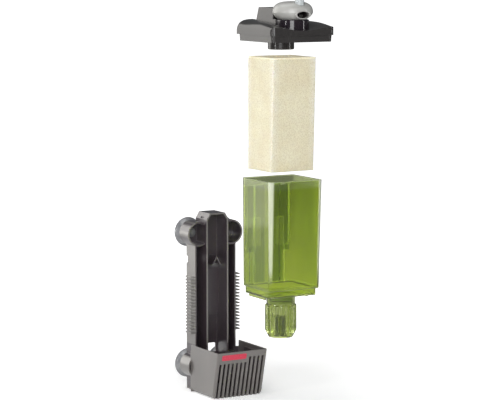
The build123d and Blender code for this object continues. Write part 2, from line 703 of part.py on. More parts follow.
def shell_section(distance, crest_in, crest_z, valley_z):
    """Cross-section of the head's shell: a pillow along each side and a valley between them."""
    half_width = HEAD_WIDTH / 2
    with BuildSketch(upright(ahead(distance), HEAD_Z)) as section:
        with BuildLine():
            crest = (-half_width + crest_in, crest_z)
            Line((0, SKIRT_TOP), (-half_width, SKIRT_TOP))
            Line((-half_width, SKIRT_TOP), (-half_width, COVER_SIDE_TOP))
            Spline((-half_width, COVER_SIDE_TOP), crest, tangents=((0, 1), (1, 0)))
            Spline(crest, (0, valley_z), tangents=((1, 0), (1, 0)))
            Line((0, valley_z), (0, SKIRT_TOP))
        make_face()
        mirror(about=Plane.YZ)
    return section.sketch


with BuildPart() as head_cover:
    loft(sections=[shell_section(*values) for values in SHELL_SECTIONS])
    # motor block
    with BuildSketch(head_level(BLOCK_BASE_SIZE[1] / 2, BLOCK_BASE)):
        RectangleRounded(*BLOCK_BASE_SIZE, SKIRT_STEP)
    with BuildSketch(head_level(BLOCK_SETBACK + BLOCK_TOP_SIZE[1] / 2, BLOCK_TOP)):
        RectangleRounded(*BLOCK_TOP_SIZE, SKIRT_STEP)
    loft()
    # rounded corners in plan
    with BuildSketch(head_level(HEAD_DEPTH / 2, 0)):
        RectangleRounded(HEAD_WIDTH, HEAD_DEPTH, HEAD_CORNER)
    extrude(amount=BLOCK_TOP + PAST, mode=Mode.INTERSECT)
    # cavity over the base plate, with bosses for the screws
    with BuildSketch(head_level(HEAD_DEPTH / 2, SKIRT_TOP)):
        Rectangle(PLATE_CAVITY_WIDTH, HEAD_DEPTH - 4 * WALL)
    extrude(amount=PLATE_CAVITY_HEIGHT, mode=Mode.SUBTRACT)
    extrude(at_screws(SCREW_BOSS, HEAD_Z + SKIRT_TOP), amount=PLATE_CAVITY_HEIGHT)
    # cavity of the motor block: wide round the stator, narrower above it
    with BuildSketch(head_level((CAVITY_BACK + CAVITY_FRONT) / 2, SKIRT_TOP)):
        Rectangle(CAVITY_WIDTH, CAVITY_FRONT - CAVITY_BACK)
    extrude(amount=WELL_TOP + DUCT_FLOOR - SKIRT_TOP, mode=Mode.SUBTRACT)
    with BuildSketch(head_level(UPPER_CAVITY_BACK + UPPER_CAVITY[1] / 2, SKIRT_TOP)):
        Rectangle(*UPPER_CAVITY)
    extrude(amount=BLOCK_TOP - WALL - SKIRT_TOP, mode=Mode.SUBTRACT)
    # scoop that leaves room for the nozzle's ball
    with BuildSketch(head_level(NOZZLE_AHEAD, COLLAR_TOP)):
        Circle(BALL_RADIUS + DUCT_FLOOR)
    extrude(amount=BLOCK_TOP, mode=Mode.SUBTRACT)
    # opening for the nozzle collar
    with BuildSketch(head_level(NOZZLE_AHEAD, SKIRT_TOP)):
        Circle(COLLAR_RADIUS + 2 * RUNNING)
    extrude(amount=BLOCK_TOP, mode=Mode.SUBTRACT)
    extrude(at_screws(SCREW_RADIUS + RUNNING, HEAD_Z + SKIRT_TOP), amount=SCREW_LENGTH - WALL, mode=Mode.SUBTRACT)
    # cable entry in the block's right side
    with BuildSketch(sideways(GLAND_START - WALL, ahead(CABLE_AHEAD), HEAD_Z + CABLE_Z)):
        Circle(GLAND_RADIUS + 2 * RUNNING)
    extrude(amount=2 * GLAND_LENGTH, mode=Mode.SUBTRACT)
write(head_cover, "head_cover")

with BuildPart() as cover_screws:
    extrude(at_screws(SCREW_HEAD_RADIUS, HEAD_Z + PLATE_BASE - SCREW_HEAD), amount=SCREW_HEAD)
    extrude(at_screws(SCREW_RADIUS, HEAD_Z + PLATE_BASE), amount=SCREW_LENGTH)
    with BuildSketch(level(0, HEAD_Z + PLATE_BASE - SCREW_HEAD)):
        with Locations(*SCREWS):
            Rectangle(SCREW_CROSS, SCREW_CROSS_WIDTH)
            Rectangle(SCREW_CROSS_WIDTH, SCREW_CROSS)
    extrude(amount=SCREW_HEAD / 2, mode=Mode.SUBTRACT)
write(cover_screws, "cover_screws")

# ---------------------------------------------------------------- pump
PUMP_Y = ahead(PUMP_AHEAD)
STUB_FLOOR = 2.0
with BuildPart() as chamber_cover:
    with BuildSketch(head_level(PUMP_AHEAD, STUB_BASE)):
        Circle(STUB_RADIUS)
    extrude(amount=PLATE_BASE - CUP_GAP - STUB_BASE)
    fillet(chamber_cover.edges().group_by(Axis.Z)[0], radius=SEAL_HEIGHT)
    with BuildSketch(head_level(PUMP_AHEAD, STUB_BASE + STUB_FLOOR)):
        Circle(STUB_BORE)
    extrude(amount=PLATE_BASE - STUB_BASE, mode=Mode.SUBTRACT)
    # grating that the water is drawn through
    with BuildSketch(head_level(PUMP_AHEAD, STUB_BASE)):
        with PolarLocations(STUB_BORE / 2, BLADE_COUNT):
            Rectangle(WELL_RADIUS, PASSAGE_DEPTH)
    extrude(amount=STUB_FLOOR, mode=Mode.SUBTRACT)
write(chamber_cover, "chamber_cover")

CHAMBER_SEAL_Z = HEAD_Z + SPIGOT_WALL + SEAL_GROOVE_HEIGHT / 2
write(sealing_ring(PUMP_Y, CHAMBER_SEAL_Z, SPIGOT_RADIUS - SEAL_RADIUS, SEAL_RADIUS), "chamber_seal")


def bush(base):
    """Rubber bush that holds one end of the rotor's shaft."""
    with BuildPart() as ring:
        with BuildSketch(head_level(PUMP_AHEAD, base)):
            Circle(BUSH_RADIUS)
            Circle(SHAFT_RADIUS + RUNNING, mode=Mode.SUBTRACT)
        extrude(amount=BUSH_HEIGHT)
    return ring


WELL_CAP = 1.2
LOWER_BUSH_BASE = STUB_BASE + STUB_FLOOR
UPPER_BUSH_BASE = WELL_TOP - WELL_CAP - BUSH_HEIGHT
write(bush(LOWER_BUSH_BASE), "lower_bush")
write(bush(UPPER_BUSH_BASE), "upper_bush")

with BuildPart() as rotor_well:
    # flange on the base plate, and the blind tube that the rotor spins in
    with BuildSketch(head_level(PUMP_AHEAD, SKIRT_TOP)):
        Circle(WELL_RADIUS + 4 * RUNNING)
    extrude(amount=SEAL_HEIGHT)
    with BuildSketch(head_level(PUMP_AHEAD, SKIRT_TOP)):
        Circle(WELL_RADIUS)
    extrude(amount=WELL_TOP - SKIRT_TOP)
    with BuildSketch(head_level(PUMP_AHEAD, SKIRT_TOP)):
        Circle(WELL_RADIUS - WELL_WALL)
    extrude(amount=WELL_TOP - WELL_CAP - SKIRT_TOP, mode=Mode.SUBTRACT)
write(rotor_well, "rotor_well")

SHAFT_BASE = LOWER_BUSH_BASE + 2 * RUNNING
with BuildPart() as rotor_shaft:
    with BuildSketch(head_level(PUMP_AHEAD, SHAFT_BASE)):
        Circle(SHAFT_RADIUS)
    extrude(amount=WELL_TOP - WELL_CAP - 2 * RUNNING - SHAFT_BASE)
write(rotor_shaft, "rotor_shaft")

with BuildPart() as rotor_magnet:
    with BuildSketch(head_level(PUMP_AHEAD, MAGNET_BASE)):
        Circle(WELL_RADIUS - WELL_WALL - 2 * SLIDING)
        Circle(SHAFT_RADIUS + RUNNING, mode=Mode.SUBTRACT)
    extrude(amount=UPPER_BUSH_BASE - SLIDING - MAGNET_BASE)
write(rotor_magnet, "rotor_magnet")

IMPELLER_BASE = LOWER_BUSH_BASE + BUSH_HEIGHT + SLIDING
HUB_RADIUS = 4.0
with BuildPart() as impeller:
    with BuildSketch(head_level(PUMP_AHEAD, IMPELLER_BASE)):
        Circle(HUB_RADIUS)
    extrude(amount=MAGNET_BASE - IMPELLER_BASE)
    with BuildSketch(head_level(PUMP_AHEAD, IMPELLER_BASE + BLADE_HEIGHT)):
        Circle(IMPELLER_RADIUS)
    extrude(amount=BLADE_THICKNESS)
    with BuildSketch(head_level(PUMP_AHEAD, IMPELLER_BASE)):
        with PolarLocations((HUB_RADIUS + IMPELLER_RADIUS) / 2 - SLIDING, BLADE_COUNT):
            Rectangle(IMPELLER_RADIUS - HUB_RADIUS + SLIDING, BLADE_THICKNESS)
    extrude(amount=BLADE_HEIGHT + BLADE_THICKNESS / 2)
    with BuildSketch(head_level(PUMP_AHEAD, IMPELLER_BASE)):
        Circle(SHAFT_RADIUS + RUNNING)
    extrude(amount=MAGNET_BASE - IMPELLER_BASE, mode=Mode.SUBTRACT)
write(impeller, "impeller")

# ---------------------------------------------------------------- motor
LEG_INNER = WELL_RADIUS + 4 * RUNNING
LEG_FRONT = PUMP_AHEAD + LEG_PAST_PUMP
YOKE_CENTRE = (YOKE_BACK + YOKE_FRONT) / 2
YOKE_DEPTH = YOKE_FRONT - YOKE_BACK
COIL_GAP = 0.1
with BuildPart() as stator_core:
    # laminated U: a leg either side of the rotor well, joined by the yoke behind it
    with BuildSketch(head_level(0, CORE_BASE)):
        for side in (-1, 1):
            with Locations((side * (LEG_INNER + LEG_OUTER) / 2, -(YOKE_BACK + LEG_FRONT) / 2)):
                Rectangle(LEG_OUTER - LEG_INNER, LEG_FRONT - YOKE_BACK)
        with Locations((0, -YOKE_CENTRE)):
            Rectangle(2 * LEG_OUTER, YOKE_DEPTH)
    extrude(amount=CORE_STACK)
write(stator_core, "stator_core")

with BuildPart() as stator_coil:
    # winding round the yoke
    with BuildSketch(sideways(0, ahead(YOKE_CENTRE), HEAD_Z + CORE_BASE + CORE_STACK / 2)):
        RectangleRounded(YOKE_DEPTH + 2 * COIL_WINDING, CORE_STACK + COIL_WINDING, SKIRT_STEP)
        Rectangle(YOKE_DEPTH + 2 * COIL_GAP, CORE_STACK + 2 * COIL_GAP, mode=Mode.SUBTRACT)
    extrude(amount=LEG_INNER - SLIDING, both=True)
write(stator_coil, "stator_coil")

GLAND_LIP = 3.0
gland_plane = sideways(GLAND_START, ahead(CABLE_AHEAD), HEAD_Z + CABLE_Z)
with BuildPart() as cable_gland:
    with BuildSketch(gland_plane):
        Circle(GLAND_RADIUS)
    extrude(amount=GLAND_LENGTH)
    with BuildSketch(gland_plane.offset(GLAND_LENGTH - GLAND_LIP)):
        Circle(GLAND_RADIUS + PAST)
    extrude(amount=GLAND_LIP)
    with BuildSketch(gland_plane):
        Circle(CABLE_RADIUS + COIL_GAP)
    extrude(amount=GLAND_LENGTH, mode=Mode.SUBTRACT)
write(cable_gland, "cable_gland")

CABLE_START = 2.0
CABLE_BEND = 6.0
CABLE_STRAIGHT_END = 28.0
cable_y = ahead(CABLE_AHEAD)
cable_z = HEAD_Z + CABLE_Z
with BuildPart() as power_cable:
    with BuildLine() as cable_path:
        Line((CABLE_START, cable_y, cable_z), (CABLE_STRAIGHT_END, cable_y, cable_z))
        RadiusArc(
            (CABLE_STRAIGHT_END, cable_y, cable_z),
            (CABLE_STRAIGHT_END + CABLE_BEND, cable_y + CABLE_BEND, cable_z),
            -CABLE_BEND,
        )
    with BuildSketch(sideways(CABLE_START, cable_y, cable_z)):
        Circle(CABLE_RADIUS)
    sweep(path=cable_path.wires()[0])
write(power_cable, "power_cable")

# ---------------------------------------------------------------- outlet
NOZZLE_Y = ahead(NOZZLE_AHEAD)
with BuildPart() as nozzle_collar:
    with BuildSketch(head_level(NOZZLE_AHEAD, SKIRT_TOP)):
        Circle(COLLAR_RADIUS)
        Circle(COLLAR_BORE, mode=Mode.SUBTRACT)
    extrude(amount=COLLAR_TOP - SKIRT_TOP)
    fillet(nozzle_collar.edges().group_by(Axis.Z)[-1].sort_by(SortBy.LENGTH)[-1], radius=SEAL_HEIGHT)
write(nozzle_collar, "nozzle_collar")

BALL_LIFT = 0.4
BALL_BASE = COLLAR_TOP + BALL_LIFT
BALL_FLANK = (25.0, 35.0)  # point on the ball's lower curve: radius and height
NOZZLE_NECK = COLLAR_BORE - RUNNING
NOZZLE_SEAL_Z = 20.9
NOZZLE_SEAL_SECTION = 0.45
NECK_WALL = 2.5
with BuildPart() as outlet_nozzle:
    # half section: neck in the collar, lip, flattened ball
    with BuildSketch(upright(NOZZLE_Y, HEAD_Z)):
        with BuildLine():
            Polyline(
                (0, BALL_TOP),
                (0, NECK_BASE),
                (NOZZLE_NECK, NECK_BASE),
                (NOZZLE_NECK, BALL_BASE),
                (BALL_FOOT_RADIUS, BALL_BASE),
            )
            ThreePointArc((BALL_FOOT_RADIUS, BALL_BASE), BALL_FLANK, (BALL_RADIUS, BALL_WAIST))
            Spline((BALL_RADIUS, BALL_WAIST), (0, BALL_TOP), tangents=((0, 1), (-1, 0)))
        make_face()
    revolve(axis=spindle(NOZZLE_Y), revolution_arc=360)
    # hood round the mouth
    with BuildSketch(upright(NOZZLE_Y, HEAD_Z + MOUTH_Z)):
        Ellipse(MOUTH_HALF_WIDTH + HOOD_WALL, MOUTH_HALF_HEIGHT + HOOD_WALL / 2)
    extrude(amount=HOOD_REACH)
    # waterway up the neck and out through the mouth
    with BuildSketch(head_level(NOZZLE_AHEAD, NECK_BASE)):
        Circle(NOZZLE_NECK - NECK_WALL)
    extrude(amount=MOUTH_Z - NECK_BASE, mode=Mode.SUBTRACT)
    with BuildSketch(upright(NOZZLE_Y, HEAD_Z + MOUTH_Z)):
        Ellipse(MOUTH_HALF_WIDTH, MOUTH_HALF_HEIGHT)
    extrude(amount=HOOD_REACH + PAST, mode=Mode.SUBTRACT)
    # seat of the air valve, with its air hole down to the mouth
    with BuildSketch(head_level(AIR_AHEAD, AIR_SEAT)):
        Circle(AIR_RADIUS + SLIDING)
    extrude(amount=AIR_HEIGHT, mode=Mode.SUBTRACT)
    with BuildSketch(head_level(AIR_AHEAD, AIR_SEAT - AIR_SOCKET_DEPTH)):
        Circle(AIR_STEM + RUNNING)
    extrude(amount=AIR_SOCKET_DEPTH + PAST, mode=Mode.SUBTRACT)
    with BuildSketch(head_level(AIR_AHEAD, MOUTH_Z)):
        Circle(AIR_BORE)
    extrude(amount=AIR_SEAT - MOUTH_Z, mode=Mode.SUBTRACT)
    # groove for the seal
    with BuildSketch(head_level(NOZZLE_AHEAD, NOZZLE_SEAL_Z - 2 * NOZZLE_SEAL_SECTION)):
        Circle(NOZZLE_NECK + PAST)
        Circle(NOZZLE_NECK - SEAL_GROOVE_DEPTH, mode=Mode.SUBTRACT)
    extrude(amount=4 * NOZZLE_SEAL_SECTION, mode=Mode.SUBTRACT)
write(outlet_nozzle, "outlet_nozzle")

nozzle_seal_z = HEAD_Z + NOZZLE_SEAL_Z
write(
    sealing_ring(NOZZLE_Y, nozzle_seal_z, NOZZLE_NECK - NOZZLE_SEAL_SECTION, NOZZLE_SEAL_SECTION),
    "nozzle_seal",
)

STEM_GAP = 0.2
with BuildPart() as air_valve:
    with BuildSketch(head_level(AIR_AHEAD, AIR_SEAT - AIR_SOCKET_DEPTH + STEM_GAP)):
        Circle(AIR_STEM)
    extrude(amount=AIR_SOCKET_DEPTH + STEM_GAP)
    with BuildSketch(head_level(AIR_AHEAD, AIR_SEAT + STEM_GAP)):
        Circle(AIR_RADIUS)
    extrude(amount=AIR_HEIGHT)
    fillet(air_valve.edges().group_by(Axis.Z)[-1], radius=PAST)
    # through bore, widened at the top for the hose spigot
    with BuildSketch(head_level(AIR_AHEAD, AIR_SEAT - AIR_SOCKET_DEPTH)):
        Circle(AIR_BORE)
    extrude(amount=2 * AIR_HEIGHT, mode=Mode.SUBTRACT)
    with BuildSketch(head_level(AIR_AHEAD, AIR_SEAT + AIR_HEIGHT - AIR_COUNTERBORE)):
        Circle(AIR_RADIUS / 2)
    extrude(amount=AIR_HEIGHT, mode=Mode.SUBTRACT)
write(air_valve, "air_valve")
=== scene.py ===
"""Looks of the internal power filter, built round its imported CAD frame."""

import json
import math

import bpy
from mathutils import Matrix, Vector, noise


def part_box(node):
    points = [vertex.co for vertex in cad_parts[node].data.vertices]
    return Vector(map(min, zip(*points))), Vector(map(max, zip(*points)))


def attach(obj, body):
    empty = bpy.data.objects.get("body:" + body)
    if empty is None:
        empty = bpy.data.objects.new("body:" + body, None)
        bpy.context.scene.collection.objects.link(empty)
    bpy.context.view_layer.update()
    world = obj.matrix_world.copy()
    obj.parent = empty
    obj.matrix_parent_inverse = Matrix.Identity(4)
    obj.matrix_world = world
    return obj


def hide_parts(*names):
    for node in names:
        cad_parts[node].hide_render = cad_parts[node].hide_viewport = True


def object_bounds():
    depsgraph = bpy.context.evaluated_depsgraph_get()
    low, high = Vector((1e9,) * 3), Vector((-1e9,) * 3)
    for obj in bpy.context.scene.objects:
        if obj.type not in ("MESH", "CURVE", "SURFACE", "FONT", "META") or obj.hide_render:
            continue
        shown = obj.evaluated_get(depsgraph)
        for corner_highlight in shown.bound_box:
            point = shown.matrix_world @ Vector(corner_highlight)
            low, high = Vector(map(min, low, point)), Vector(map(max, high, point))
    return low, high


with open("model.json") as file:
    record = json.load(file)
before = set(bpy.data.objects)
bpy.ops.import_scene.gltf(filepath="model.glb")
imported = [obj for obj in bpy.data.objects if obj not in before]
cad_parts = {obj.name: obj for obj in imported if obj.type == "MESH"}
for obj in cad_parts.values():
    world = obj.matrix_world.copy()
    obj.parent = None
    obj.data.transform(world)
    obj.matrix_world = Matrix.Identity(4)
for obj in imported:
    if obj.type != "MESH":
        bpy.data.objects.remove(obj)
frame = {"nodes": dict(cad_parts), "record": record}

CAD_LOW, CAD_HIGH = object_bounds()
NODES = frame["nodes"]
MM = 0.001

# view of the whole layout
CAMERA_AZIMUTH = -29.28
CAMERA_ELEVATION = 8.45
CAMERA_DISTANCE = 3.065
CAMERA_LENS = 154.4
TARGET = Vector((0.0, -0.060, 0.200))
AIM_RIGHT = 0.0205
AIM_UP = 0.0840

WHITE = (1.0, 1.0, 1.0, 1.0)


# ---------------------------------------------------------------- material graphs
class Graph:
    """A node material under construction, addressed in the object's own metres."""

    def __init__(self, name):
        self.material = bpy.data.materials.new(name)
        self.material.use_nodes = True
        self.tree = self.material.node_tree
        self.surface = self.tree.nodes["Principled BSDF"]
        self.place = self.add("ShaderNodeTexCoord").outputs["Object"]

    def add(self, kind, inputs=None, **settings):
        node = self.tree.nodes.new(kind)
        for key, value in settings.items():
            setattr(node, key, value)
        for key, value in (inputs or {}).items():
            self.feed(node.inputs[key], value)
        return node

    def feed(self, socket, value):
        if isinstance(value, bpy.types.NodeSocket):
            self.tree.links.new(value, socket)
        else:
            socket.default_value = value

    def set(self, **inputs):
        """Feeds the principled surface, with underscores for the spaces in its input names."""
        for key, value in inputs.items():
            self.feed(self.surface.inputs[key.replace("_", " ")], value)

    def stretched(self, scale):
        return self.add("ShaderNodeMapping", {"Vector": self.place, "Scale": scale}).outputs["Vector"]

    def noise(self, scale, detail=3.0, rough=0.5, vector=None):
        inputs = {"Vector": vector or self.place, "Scale": scale, "Detail": detail, "Roughness": rough}
        return self.add("ShaderNodeTexNoise", inputs).outputs["Fac"]

    def cells(self, scale, feature="F1", vector=None):
        inputs = {"Vector": vector or self.place, "Scale": scale}
        return self.add("ShaderNodeTexVoronoi", inputs, feature=feature).outputs["Distance"]

    def bands(self, scale, direction, distortion=0.0):
        inputs = {"Vector": self.place, "Scale": scale, "Distortion": distortion}
        return self.add("ShaderNodeTexWave", inputs, bands_direction=direction).outputs["Fac"]

    def ramp(self, factor, low, high, start=0.0, end=1.0):
        node = self.add("ShaderNodeValToRGB", {"Fac": factor})
        node.color_ramp.elements[0].position = start
        node.color_ramp.elements[1].position = end
        node.color_ramp.elements[0].color = rgba(low)
        node.color_ramp.elements[1].color = rgba(high)
        return node.outputs["Color"]

    def span(self, factor, low, high, start=0.0, end=1.0):
        inputs = {"Value": factor, "From Min": start, "From Max": end, "To Min": low, "To Max": high}
        return self.add("ShaderNodeMapRange", inputs).outputs["Result"]

    def mix(self, factor, first, second):
        """Blends two colours; 6 and 7 are the mix node's colour inputs and 2 is its colour output."""
        node = self.add("ShaderNodeMix", data_type="RGBA")
        self.feed(node.inputs["Factor"], factor)
        self.feed(node.inputs[6], first)
        self.feed(node.inputs[7], second)
        return node.outputs[2]

    def maths(self, operation, first, second=0.0):
        node = self.add("ShaderNodeMath", operation=operation)
        self.feed(node.inputs[0], first)
        self.feed(node.inputs[1], second)
        return node.outputs["Value"]

    def axes(self):
        """X, Y and Z of the shaded point in the row's frame."""
        return self.add("ShaderNodeSeparateXYZ", {"Vector": self.place}).outputs

    def between(self, value, low, high, soft=0.6 * MM):
        """1 where the value lies between the two bounds, with soft borders."""
        rise = self.span(value, 0.0, 1.0, low - soft, low + soft)
        fall = self.span(value, 1.0, 0.0, high - soft, high + soft)
        return self.maths("MULTIPLY", rise, fall)

    def within(self, value, limit, soft=0.3 * MM):
        """1 below the limit and 0 above it, with a soft border."""
        return self.span(value, 1.0, 0.0, limit - soft, limit + soft)

    def beyond(self, value, limit, soft=0.3 * MM):
        """0 below the limit and 1 above it, with a soft border."""
        return self.span(value, 0.0, 1.0, limit - soft, limit + soft)

    def both(self, first, second):
        return self.maths("MULTIPLY", first, second)

    def part(self, mask, share):
        """A mask weakened to this share."""
        return self.maths("MULTIPLY", mask, share)

    def edges(self, radius):
        """(edge mask, rounded normal) of the corners that a finger would feel."""
        bevel = self.add("ShaderNodeBevel", {"Radius": radius}, samples=6).outputs["Normal"]
        normal = self.add("ShaderNodeNewGeometry").outputs["Normal"]
        node = self.add("ShaderNodeVectorMath", operation="DOT_PRODUCT")
        self.feed(node.inputs[0], bevel)
        self.feed(node.inputs[1], normal)
        return self.span(node.outputs["Value"], 1.0, 0.0, 0.82, 0.995), bevel

    def bump(self, height, strength, distance, normal=None):
        inputs = {"Height": height, "Strength": strength, "Distance": distance}
        if normal is not None:
            inputs["Normal"] = normal
        return self.add("ShaderNodeBump", inputs).outputs["Normal"]


def rgba(colour):
    return (*colour[:3], 1.0)


def scaled(colour, factor):
    return tuple(min(1.0, c * factor) for c in colour[:3])


def moulded_plastic(name, colour, roughness, edge_light=1.9, grain=0.05, coat=0.0):
    """Injection-moulded plastic: fine spark-eroded grain, faint flow tone, painted highlights along the
    sharp edges.
    """
    graph = Graph(name)
    flow = graph.noise(16.0, 2.0, vector=graph.stretched((1.0, 1.0, 0.35)))
    tone = graph.ramp(flow, scaled(colour, 0.84), scaled(colour, 1.16), 0.3, 0.7)
    # painted highlights: the sharp edges are lightened by edge_light
    mask, rounded = graph.edges(0.7 * MM)
    edge_highlit = graph.mix(graph.part(mask, 0.55), tone, rgba(scaled(colour, edge_light)))
    fine = graph.noise(2600.0, 2.0, 0.6)
    smudge = graph.noise(11.0, 1.0, 0.4)
    graph.set(
        Base_Color=edge_highlit,
        Roughness=graph.span(smudge, roughness - 0.02, roughness + 0.03, 0.2, 0.8),
        Specular_IOR_Level=0.5 - 0.4 * coat,
        Coat_Weight=coat,
        Coat_Roughness=0.09,
        Normal=graph.bump(fine, grain, 0.15 * MM, rounded),
    )
    return graph.material


# insides of the holder, where painted shade darkens its plastic
TRAY_HALF_WIDTH = 32.9 * MM
TRAY_DEPTHS = (-5.4 * MM, 26.2 * MM)
SOCKET_HALF_WIDTH = 44.5 * MM
SOCKET_DEPTHS = (0.6 * MM, 26.2 * MM)
SOCKET_HEIGHTS = (214.6 * MM, 245.4 * MM)
BASKET_HALF_WIDTH = 38.3 * MM
BASKET_HEIGHTS = (2 * MM, 68 * MM)
BASKET_INSIDE_FRONT = -62.1 * MM
BASKET_FOOT_FRONT = -64 * MM
BASKET_LEAN = 17.0 / 69.0


def holder_plastic(name):
    """Grey moulded plastic of the holder, with painted shade, darker and warmer, down in the channel, the
    sockets and the basket, and painted highlights along its edges.
    """
    graph = Graph(name)
    x, y, z = graph.axes()
    flow = graph.noise(16.0, 2.0, vector=graph.stretched((1.0, 1.0, 0.35)))
    tone = graph.ramp(flow, (0.150, 0.136, 0.128), (0.195, 0.178, 0.165), 0.3, 0.7)
    across = graph.maths("ABSOLUTE", x)
    inside = graph.both(graph.within(across, TRAY_HALF_WIDTH), graph.between(y, *TRAY_DEPTHS))
    sockets = graph.both(graph.within(across, SOCKET_HALF_WIDTH), graph.between(y, *SOCKET_DEPTHS))
    sockets = graph.both(sockets, graph.between(z, *SOCKET_HEIGHTS))
    basket = graph.both(graph.within(across, BASKET_HALF_WIDTH), graph.between(z, *BASKET_HEIGHTS))
    leaning = graph.maths("ADD", y, graph.maths("MULTIPLY", z, BASKET_LEAN))
    basket = graph.both(basket, graph.beyond(leaning, BASKET_INSIDE_FRONT))
    # painted shade in the channel, the sockets and the basket, where little light reaches
    painted_recess_shade = graph.maths("MAXIMUM", graph.maths("MAXIMUM", inside, sockets), basket)
    tone = graph.mix(graph.part(painted_recess_shade, 0.92), tone, (0.040, 0.026, 0.035, 1.0))
    mask, rounded = graph.edges(0.7 * MM)
    # painted highlights along the edges
    edge_highlit = graph.mix(graph.part(mask, 0.5), tone, (0.30, 0.28, 0.26, 1.0))
    fine = graph.noise(1100.0, 1.0, 0.4)
    smudge = graph.noise(11.0, 1.0, 0.4)
    graph.set(
        Base_Color=edge_highlit,
        Roughness=graph.span(smudge, 0.29, 0.33, 0.2, 0.8),
        Specular_IOR_Level=0.8,
        Coat_Weight=1.0,
        Coat_Roughness=0.24,
        Normal=graph.bump(fine, 0.03, 0.08 * MM, rounded),
    )
    return graph.material


# the outlet's oval mouth, where shade is painted, measured from the top and the front of its box
MOUTH_DROP = 17.9 * MM
MOUTH_HALF_WIDTH = 10.3 * MM
MOUTH_HALF_HEIGHT = 4.9 * MM
MOUTH_SHADE_START = 5 * MM
MOUTH_SHADE_SOFT = 4 * MM
MOUTH_OUTLINE = 1.02  # squared distance from the mouth's middle, in half sizes
MOUTH_OUTLINE_SOFT = 0.04


def nozzle_plastic(name):
    """Pale grey plastic of the outlet, with painted shade in its mouth and straight behind it, through to
    the back, and painted highlights on its edges.
    """
    graph = Graph(name)
    low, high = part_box("outlet_nozzle")
    x, y, z = graph.axes()
    across = graph.maths("DIVIDE", x, MOUTH_HALF_WIDTH)
    upward = graph.maths("DIVIDE", graph.maths("SUBTRACT", z, high.z - MOUTH_DROP), MOUTH_HALF_HEIGHT)
    square = graph.maths("ADD", graph.both(across, across), graph.both(upward, upward))
    inward = graph.beyond(y, low.y + MOUTH_SHADE_START, MOUTH_SHADE_SOFT)
    # painted shade: the mouth's oval, carried straight through to the back
    painted_mouth_shade = graph.both(graph.within(square, MOUTH_OUTLINE, MOUTH_OUTLINE_SOFT), inward)
    flow = graph.noise(30.0, 3.0)
    tone = graph.ramp(flow, (0.40, 0.395, 0.37), (0.47, 0.465, 0.44), 0.3, 0.7)
    mask, rounded = graph.edges(0.8 * MM)
    # painted highlights along the edges
    tone = graph.mix(graph.part(mask, 0.4), tone, (0.72, 0.71, 0.68, 1.0))
    smudge = graph.noise(120.0, 4.0, 0.6)
    graph.set(
        Base_Color=graph.mix(painted_mouth_shade, tone, (0.020, 0.016, 0.016, 1.0)),
        Roughness=graph.span(smudge, 0.28, 0.40, 0.3, 0.7),
        Coat_Weight=0.2,
        Normal=rounded,
    )
    return graph.material


# the canister's tones, painted highlights and painted shade lines; heights of the pads and corners are
# counted from the step above its foot
NECK_DROP = 12 * MM
FOOT_HEIGHT = 10 * MM
STEP_SHADE_LINE = (-1.0 * MM, 0.6 * MM)
FOOT_SHADE_LINE = (-0.5 * MM, 1.3 * MM)
SHADE_LINE_SOFT = 0.3 * MM
BACK_WALL = 9.8 * MM
BACK_WALL_SOFT = 1.2 * MM
WIDE_PAD = (5 * MM, 33 * MM, 45 * MM, 138 * MM)  # inner and outer X, bottom and top
SLIM_PAD = (5 * MM, 23.5 * MM, 2 * MM, 46 * MM)
PAD_OPENING = (12 * MM, 24 * MM, 54 * MM, 92 * MM)
PALE_RIM = 11 * MM
PALE_RIM_SOFT = 2 * MM
CORNER_WIDTH = 5.5 * MM
CORNER_DEPTH = 7 * MM
CORNER_SOFT = 1.5 * MM
CORNER_START = 18 * MM
CORNER_START_SOFT = 12 * MM


